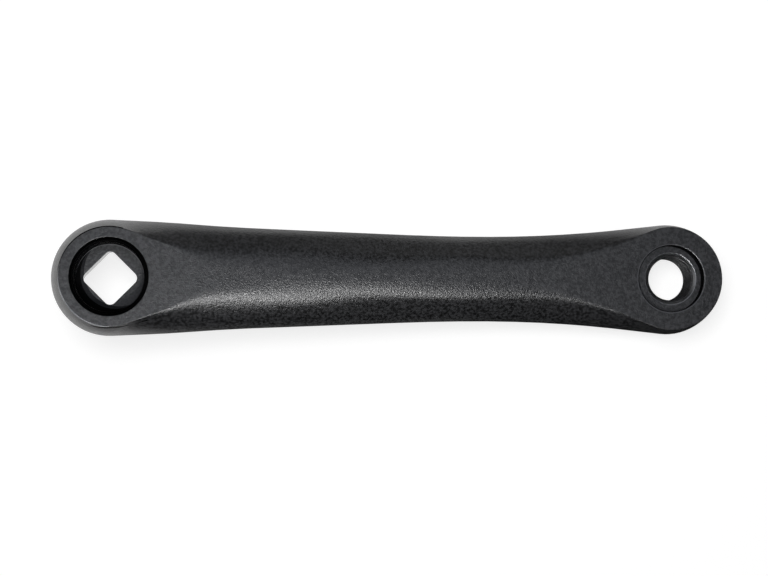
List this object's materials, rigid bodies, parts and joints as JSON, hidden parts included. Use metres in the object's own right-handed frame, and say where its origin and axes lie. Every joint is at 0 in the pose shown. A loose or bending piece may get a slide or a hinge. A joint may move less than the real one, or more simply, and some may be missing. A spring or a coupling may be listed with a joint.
{
  "type": "bicycle crank arm",
  "caption": "Forged left crank arm with a square taper socket and extractor bore at the boss, a waisted arm with a rounded crown, and a threaded pedal eye.",
  "frame": {"origin": "on the spindle axis, at the inboard face of the boss", "axes": "+X along the arm from the spindle to the pedal, +Z along the spindle axis to the outboard side, +Y across the arm"},
  "size_m": [0.2043, 0.035, 0.0285],
  "materials": {
    "black_coat": "matte black coat with a fine sandy grain"
  },
  "bodies": {
    "root": {"crank_arm": "black_coat"}
  },
  "joints": []
}
